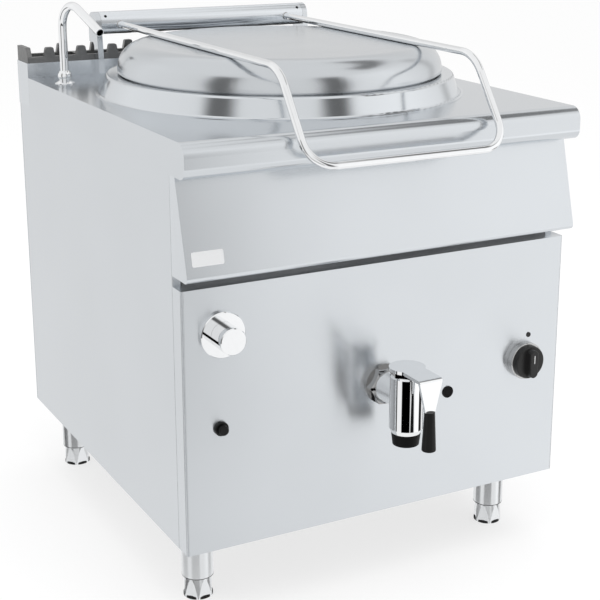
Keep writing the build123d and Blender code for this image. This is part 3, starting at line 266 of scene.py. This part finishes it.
def brushed_grain_group():
    """Fine streaks and slow clouds, mixed into a tone, a roughness and a height."""
    tree, source, sink = group(
        "brushed_grain",
        [("Streaks", "NodeSocketVector", None), ("Clouds", "NodeSocketVector", None),
         ("Dark", "NodeSocketColor", (0.5, 0.5, 0.5, 1.0)),
         ("Light", "NodeSocketColor", (0.7, 0.7, 0.7, 1.0)),
         ("Smooth", "NodeSocketFloat", 0.25), ("Rough", "NodeSocketFloat", 0.4)],
        [("Color", "NodeSocketColor"), ("Roughness", "NodeSocketFloat"), ("Height", "NodeSocketFloat")],
    )
    link = tree.links.new
    streak = tree.nodes.new("ShaderNodeTexNoise")
    streak.inputs["Scale"].default_value = 1.0
    streak.inputs["Detail"].default_value = 4.0
    streak.inputs["Roughness"].default_value = 0.7
    link(source.outputs["Streaks"], streak.inputs["Vector"])
    cloud = tree.nodes.new("ShaderNodeTexNoise")
    cloud.inputs["Scale"].default_value = 1.0
    cloud.inputs["Detail"].default_value = 2.0
    link(source.outputs["Clouds"], cloud.inputs["Vector"])
    both = tree.nodes.new("ShaderNodeMix")
    both.inputs["Factor"].default_value = 0.6
    link(streak.outputs["Fac"], both.inputs["A"])
    link(cloud.outputs["Fac"], both.inputs["B"])
    spread = tree.nodes.new("ShaderNodeMapRange")
    spread.inputs["From Min"].default_value = 0.3
    spread.inputs["From Max"].default_value = 0.7
    link(both.outputs["Result"], spread.inputs["Value"])
    tone = tree.nodes.new("ShaderNodeMix")
    tone.data_type = "RGBA"
    link(spread.outputs["Result"], tone.inputs["Factor"])
    link(source.outputs["Dark"], tone.inputs["A"])
    link(source.outputs["Light"], tone.inputs["B"])
    matt = tree.nodes.new("ShaderNodeMix")
    link(spread.outputs["Result"], matt.inputs["Factor"])
    link(source.outputs["Rough"], matt.inputs["A"])
    link(source.outputs["Smooth"], matt.inputs["B"])
    link(tone.outputs["Result"], sink.inputs["Color"])
    link(matt.outputs["Result"], sink.inputs["Roughness"])
    link(streak.outputs["Fac"], sink.inputs["Height"])
    return tree


GRAIN = brushed_grain_group()
# Relief so slight that only the tone and the gloss show the grain
FAINT = 0.000001


def grey(level, warm=0.0):
    """Grey colour; warm above 0 leans to yellow and below 0 to blue."""
    return (level * (1 + warm), level, level * (1 - warm), 1.0)


def metal(name, dark, light, smooth, rough, streaks, clouds=(3.0, 3.0, 3.0), depth=FAINT, across=0.0,
          metallic=1.0):
    """Metal with grain: streaks stretches the grain along its small axis, depth is the grain's relief.

    across is the anisotropy, which draws reflections out up and down on upright sheets.
    """
    material = bpy.data.materials.new(name)
    material.use_nodes = True
    tree = material.node_tree
    link = tree.links.new
    shader = tree.nodes["Principled BSDF"]
    shader.inputs["Metallic"].default_value = metallic
    where = tree.nodes.new("ShaderNodeTexCoord")
    grain = tree.nodes.new("ShaderNodeGroup")
    grain.node_tree = GRAIN
    for label, scale in (("Streaks", streaks), ("Clouds", clouds)):
        mapping = tree.nodes.new("ShaderNodeMapping")
        mapping.vector_type = "POINT"
        mapping.inputs["Scale"].default_value = scale
        link(where.outputs["Object"], mapping.inputs["Vector"])
        link(mapping.outputs["Vector"], grain.inputs[label])
    grain.inputs["Dark"].default_value = dark
    grain.inputs["Light"].default_value = light
    grain.inputs["Smooth"].default_value = smooth
    grain.inputs["Rough"].default_value = rough
    link(grain.outputs["Color"], shader.inputs["Base Color"])
    link(grain.outputs["Roughness"], shader.inputs["Roughness"])
    bump = tree.nodes.new("ShaderNodeBump")
    bump.inputs["Strength"].default_value = 1.0
    bump.inputs["Distance"].default_value = depth
    link(grain.outputs["Height"], bump.inputs["Height"])
    link(bump.outputs["Normal"], shader.inputs["Normal"])
    if across:
        shader.inputs["Anisotropic"].default_value = across
        shader.inputs["Anisotropic Rotation"].default_value = 0.25
        tangent = tree.nodes.new("ShaderNodeTangent")
        tangent.direction_type = "RADIAL"
        tangent.axis = "Z"
        link(tangent.outputs["Tangent"], shader.inputs["Tangent"])
    return material


def plastic(name, dark, light, rough, grain_scale, depth, sheen):
    """Moulded plastic with a fine skin; sheen is its specular level."""
    material = metal(name, dark, light, rough - 0.05, rough + 0.08, (grain_scale,) * 3, (40.0,) * 3, depth,
                     metallic=0.0)
    material.node_tree.nodes["Principled BSDF"].inputs["Specular IOR Level"].default_value = sheen
    return material


LEVEL_GRAIN = (8.0, 8.0, 4200.0)
TOP_GRAIN = (8.0, 4200.0, 4200.0)
FINE_GRAIN = (300.0, 300.0, 300.0)
CLOSE_GRAIN = (60.0, 60.0, 60.0)
TURNED_GRAIN = (12.0, 12.0, 1500.0)
SKIN_GRAIN = 900.0
COOL = -0.038
TURNED_RELIEF = 0.00001
MILL_RELIEF = 0.00005

panel_steel = metal("panel_steel", grey(0.665, COOL), grey(0.695, COOL), 0.22, 0.27, LEVEL_GRAIN,
                    across=0.85)
fascia_steel = metal("fascia_steel", grey(0.70, COOL), grey(0.73, COOL), 0.20, 0.25, LEVEL_GRAIN)
top_steel = metal("top_steel", grey(0.66, COOL), grey(0.69, COOL), 0.15, 0.20, TOP_GRAIN)
lid_steel = metal("lid_steel", grey(0.62, COOL), grey(0.65, COOL), 0.17, 0.21, TURNED_GRAIN)
collar_steel = metal("collar_steel", grey(0.68, COOL), grey(0.72, COOL), 0.12, 0.16, TURNED_GRAIN)
vessel_steel = metal("vessel_steel", grey(0.58, COOL), grey(0.64, COOL), 0.2, 0.28, (12.0, 12.0, 900.0))
chrome = metal("bright_chrome", grey(0.84, -0.01), grey(0.90, -0.01), 0.02, 0.05, CLOSE_GRAIN)
# Darker copy of the chrome for the drain union: painted shade, the same chrome dimmed
shaded_union_chrome = metal("shaded_union_chrome", grey(0.34), grey(0.42), 0.03, 0.07, CLOSE_GRAIN)
tube_steel = metal("polished_tube", grey(0.74, -0.02), grey(0.80, -0.02), 0.20, 0.27, (200.0, 200.0, 8.0))
hinge_steel = metal("satin_tube", grey(0.76, COOL), grey(0.82, COOL), 0.16, 0.24, (6.0, 900.0, 900.0))
bracket_steel = metal("bracket_steel", grey(0.62, COOL), grey(0.70, COOL), 0.1, 0.16, FINE_GRAIN)
# Dark steel for the corner posts: painted shade of the recess slot they are seen in
recess_shade_steel = metal("recess_shade_steel", grey(0.22), grey(0.28), 0.35, 0.5, LEVEL_GRAIN)
plate_foil = metal("plate_foil", grey(0.80, -0.01), grey(0.84, -0.01), 0.35, 0.45, FINE_GRAIN, metallic=0.4)
dial_steel = metal("satin_dial", grey(0.50), grey(0.60), 0.2, 0.3, FINE_GRAIN, depth=TURNED_RELIEF)
spring_steel = metal("spring_steel", grey(0.4), grey(0.5), 0.3, 0.4, FINE_GRAIN, depth=TURNED_RELIEF)
brass = metal("turned_brass", (0.55, 0.40, 0.18, 1.0), (0.68, 0.52, 0.26, 1.0), 0.25, 0.4, FINE_GRAIN,
              depth=TURNED_RELIEF)
mill_steel = metal("mill_steel", grey(0.4), grey(0.52), 0.35, 0.55, (30.0, 30.0, 30.0), depth=MILL_RELIEF)
frame_steel = metal("frame_steel", grey(0.36), grey(0.5), 0.4, 0.6, CLOSE_GRAIN, depth=MILL_RELIEF)
weld_steel = metal("weld_steel", grey(0.45), grey(0.62), 0.25, 0.4, (500.0, 500.0, 500.0), depth=0.00008)
grille_steel = metal("cast_grille", grey(0.20), grey(0.30), 0.4, 0.6, (90.0, 90.0, 90.0), depth=0.0002)
black_plastic = plastic("black_plastic", grey(0.003), grey(0.006), 0.32, SKIN_GRAIN, 0.00002, 0.22)
mouth_plastic = plastic("mouth_plastic", grey(0.002), grey(0.004), 0.4, SKIN_GRAIN, 0.00002, 0.10)
knob_plastic = plastic("knob_plastic", grey(0.010), grey(0.018), 0.36, SKIN_GRAIN, 0.00003, 0.35)
# Black rubber for the foot pads, also used for the leg-end beads as painted shade of the gap between leg
# and foot
rubber_and_gap_shade = plastic("foot_rubber_and_gap_shade", grey(0.01), grey(0.02), 0.6, 700.0, 0.00003, 0.2)
sight_black = plastic("sight_black", grey(0.002), grey(0.003), 0.15, SKIN_GRAIN, TURNED_RELIEF, 0.12)
mark_white = plastic("mark_white", grey(0.75), grey(0.82), 0.5, SKIN_GRAIN, TURNED_RELIEF, 0.3)

FINISHES = {
    panel_steel: ["side_panel_left", "side_panel_right", "front_panel", "back_panel"],
    fascia_steel: ["fascia", "upstand"],
    top_steel: ["worktop"],
    recess_shade_steel: ["corner_posts"],
    collar_steel: ["collar"],
    lid_steel: ["lid_shell"],
    vessel_steel: ["vessel", "lid_liner"],
    chrome: ["lid_handle", "spout_base", "spout_tube", "water_knob", "water_rosette",
             "drain_valve_body", "drain_bonnet", "drain_lever", "drain_plug", "control_stem", "water_stem"],
    shaded_union_chrome: ["drain_union"],
    tube_steel: ["leg_tubes", "foot_front_left", "foot_front_right", "foot_back_left", "foot_back_right"],
    hinge_steel: ["hinge_tube", "hinge_axle"],
    dial_steel: ["control_dial"],
    grille_steel: ["flue_grille"],
    bracket_steel: ["hinge_brackets"],
    spring_steel: ["balance_springs", "igniter_spring"],
    mill_steel: ["jacket", "combustion_chamber", "flue_duct", "burners", "gas_manifold", "gas_pipe",
                 "pilot_burner", "filling_pipe", "water_supply_pipe", "drain_pipe", "strainer"],
    frame_steel: ["base_frame"],
    brass: ["gas_valve", "water_valve", "relief_valve", "hinge_bushes"],
    black_plastic: ["drain_grip", "igniter_button", "igniter_bezel"],
    mouth_plastic: ["drain_mouth"],
    knob_plastic: ["control_knob"],
    sight_black: ["sight_port"],
}
for material, names in FINISHES.items():
    for name in names:
        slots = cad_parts[name].data.materials
        slots.clear()
        slots.append(material)

# ---------------------------------------------------------------- small pieces


def finish_piece(bm, name, material, body, smooth=True):
    """Turn a bmesh into a piece of the kettle that rides on a body."""
    bmesh.ops.recalc_face_normals(bm, faces=bm.faces)
    mesh = bpy.data.meshes.new(name)
    bm.to_mesh(mesh)
    bm.free()
    mesh.materials.append(material)
    if smooth:
        for face in mesh.polygons:
            face.use_smooth = True
    piece = bpy.data.objects.new(name, mesh)
    bpy.context.scene.collection.objects.link(piece)
    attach(piece, body)
    return piece


def rounded_slab(bm, width, height, thickness, corner, edge):
    """Flat plate in X-Z with its face towards -Y, round corners and eased edges."""
    bmesh.ops.create_cube(bm, size=1.0)
    bmesh.ops.scale(bm, vec=(width, thickness, height), verts=bm.verts)
    uprights = [e for e in bm.edges if abs(e.verts[0].co.y - e.verts[1].co.y) > thickness / 2]
    bmesh.ops.bevel(bm, geom=uprights, offset=corner, offset_type="OFFSET", affect="EDGES", segments=6,
                    profile=0.5, material=-1)
    rim = [e for e in bm.edges if all(v.co.y < 0 for v in e.verts)]
    bmesh.ops.bevel(bm, geom=rim, offset=edge, offset_type="OFFSET", affect="EDGES", segments=2,
                    profile=0.5, material=-1)
    bmesh.ops.translate(bm, verts=bm.verts, vec=(0, -thickness / 2, 0))


def disc(name, centre, radius, thickness, material, bevel, body=CABINET, turn=None, sides=48):
    """Flat round piece with a rounded rim, its face towards the front unless it is turned."""
    bm = bmesh.new()
    bmesh.ops.create_cone(bm, cap_ends=True, segments=sides, radius1=radius, radius2=radius,
                          depth=thickness)
    rim = [e for e in bm.edges if all(v.co.z > 0 for v in e.verts)]
    bmesh.ops.bevel(bm, geom=rim, offset=bevel, offset_type="OFFSET", affect="EDGES", segments=3,
                    profile=0.5, material=-1)
    bmesh.ops.translate(bm, verts=bm.verts, vec=(0, 0, thickness / 2))
    turn = FACING_FRONT if turn is None else turn
    bmesh.ops.transform(bm, matrix=Matrix.Translation(centre) @ turn, verts=bm.verts)
    return finish_piece(bm, name, material, body, smooth=False)


def ring(name, centre, radius, section, material, body=CABINET, turn=None, steps=48):
    """Round bead: a small circle of the given section radius spun about the turned Z axis."""
    bm = bmesh.new()
    made = bmesh.ops.create_circle(bm, cap_ends=False, segments=12, radius=section)
    upright = Matrix.Rotation(math.radians(90), 3, "X")
    bmesh.ops.rotate(bm, verts=made["verts"], cent=(0, 0, 0), matrix=upright)
    bmesh.ops.translate(bm, verts=made["verts"], vec=(radius, 0, 0))
    bmesh.ops.spin(bm, geom=bm.verts[:] + bm.edges[:], cent=(0, 0, 0), axis=(0, 0, 1),
                   angle=math.radians(360), steps=steps, use_merge=True)
    turn = Matrix.Identity(4) if turn is None else turn
    bmesh.ops.transform(bm, matrix=Matrix.Translation(centre) @ turn, verts=bm.verts)
    return finish_piece(bm, name, material, body)


panel_low, panel_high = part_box("front_panel")
fascia_low, fascia_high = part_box("fascia")
PANEL_FACE = panel_low.y
FACING_FRONT = Matrix.Rotation(math.radians(90), 4, "X")

# Mark above the gas knob, and a black disc as the sight port's glass, painted shade of the dark inside seen
# through the port
MARK_AT = (0.326, PANEL_FACE, 0.443)
disc("index_mark", MARK_AT, 0.005, 0.0012, knob_plastic, 0.0004)
GLASS_RADIUS = 0.0068
GLASS_RECESS = 0.0012
sight_low, sight_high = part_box("sight_port")
sight_middle = (sight_low + sight_high) / 2
glass_at = (sight_middle.x, sight_low.y + GLASS_RECESS, sight_middle.z)
disc("shaded_sight_glass", glass_at, GLASS_RADIUS, 0.0011, sight_black, 0.0003)

# Bare plate on the slanting fascia, whose rounded lip lies behind its corner line
FASCIA_SETBACK = 0.0457
FASCIA_CORNER_Y = -0.3795
PLATE_X = -0.3575
PLATE_Z = 0.6915
slope = math.atan2(FASCIA_SETBACK, fascia_high.z - fascia_low.z)
plate_y = FASCIA_CORNER_Y + (PLATE_Z - fascia_low.z) * math.tan(slope)
plate_mesh = bmesh.new()
rounded_slab(plate_mesh, width=0.058, height=0.025, thickness=0.0009, corner=0.003, edge=0.0003)
plate_place = Matrix.Translation((PLATE_X, plate_y, PLATE_Z)) @ Matrix.Rotation(-slope, 4, "X")
bmesh.ops.transform(plate_mesh, matrix=plate_place, verts=plate_mesh.verts)
finish_piece(plate_mesh, "bare_plate", plate_foil, CABINET, smooth=False)

# Gas knob: a pointer line on its grip and short ticks round its dial
POINTER_RISE = 0.010
POINTER_SINK = 0.0004
knob_low, knob_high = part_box("control_knob")
dial_low, dial_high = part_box("control_dial")
knob_middle = (knob_low + knob_high) / 2
pointer = bmesh.new()
rounded_slab(pointer, width=0.0016, height=0.016, thickness=0.0008, corner=0.0006, edge=0.0002)
pointer_at = (knob_middle.x, knob_low.y + POINTER_SINK, knob_middle.z + POINTER_RISE)
bmesh.ops.translate(pointer, verts=pointer.verts, vec=pointer_at)
finish_piece(pointer, "knob_pointer", mark_white, "gas_control", smooth=False)
TICKS = 7
TICK_SWEEP = math.radians(270)
TICK_SINK = 0.0002
tick_radius = (dial_high.x - dial_low.x) / 2 - 0.0019
for number in range(TICKS):
    tick_angle = TICK_SWEEP * (number / (TICKS - 1) - 0.5)
    tick = bmesh.new()
    rounded_slab(tick, width=0.0009, height=0.0018, thickness=0.0004, corner=0.0003, edge=0.0001)
    bmesh.ops.translate(tick, verts=tick.verts, vec=(0, 0, tick_radius))
    tick_at = Matrix.Translation((knob_middle.x, dial_low.y + TICK_SINK, knob_middle.z))
    bmesh.ops.transform(tick, matrix=tick_at @ Matrix.Rotation(tick_angle, 4, "Y"), verts=tick.verts)
    finish_piece(tick, f"dial_tick_{number}", knob_plastic, "gas_control", smooth=False)

# Feet: a rubber pad under each, and a black bead at the leg's end, painted shade of the gap between leg and
# foot
PAD_OVERHANG = 0.0006
PAD_THICKNESS = 0.005
LEG_END_Z = 0.0425
LEG_SHADE_RING_RADIUS = 0.0291
for corner in ("front_left", "front_right", "back_left", "back_right"):
    foot_low, foot_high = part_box(f"foot_{corner}")
    foot_middle = (foot_low + foot_high) / 2
    pad_at = (foot_middle.x, foot_middle.y, 0.0)
    pad_radius = (foot_high.y - foot_low.y) / 2 + PAD_OVERHANG
    disc(f"foot_pad_{corner}", pad_at, pad_radius, PAD_THICKNESS, rubber_and_gap_shade, 0.0008,
         body=f"leg_foot_{corner}", turn=Matrix.Identity(4))
    ring_at = (foot_middle.x, foot_middle.y, LEG_END_Z)
    ring(f"leg_shade_ring_{corner}", ring_at, LEG_SHADE_RING_RADIUS, 0.0011, rubber_and_gap_shade)

# Weld beads where the handle's rods meet the hinge tube, and grub screws in the tube's ends
ROD_RADIUS = 0.007
WELD_SINK = 0.0008
GRUB_INSET = 0.011
GRUB_SINK = 0.0003
GRUB_RISE = math.radians(40)
tube_low, tube_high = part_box("hinge_tube")
rod_low, rod_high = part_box("lid_handle")
tube_middle = (tube_low + tube_high) / 2
tube_radius = (tube_high.z - tube_low.z) / 2
weld_y = tube_low.y + WELD_SINK
weld_z = rod_high.z - ROD_RADIUS
grub_out = Vector((0, -math.cos(GRUB_RISE), math.sin(GRUB_RISE)))
grub_turn = grub_out.to_track_quat("Z", "Y").to_matrix().to_4x4()
rod_places = {"left": rod_low.x + ROD_RADIUS, "right": rod_high.x - ROD_RADIUS}
for word, rod_x in rod_places.items():
    ring(f"rod_weld_{word}", (rod_x, weld_y, weld_z), ROD_RADIUS, 0.0016, weld_steel,
         body="lid", turn=FACING_FRONT, steps=32)
grub_places = {"left": GRUB_INSET - tube_high.x, "right": tube_high.x - GRUB_INSET}
for word, grub_x in grub_places.items():
    grub_at = Vector((grub_x, tube_middle.y, tube_middle.z)) + grub_out * (tube_radius - GRUB_SINK)
    disc(f"grub_screw_{word}", grub_at, 0.0032, 0.0006, sight_black, 0.0002, body="lid",
         turn=grub_turn, sides=24)
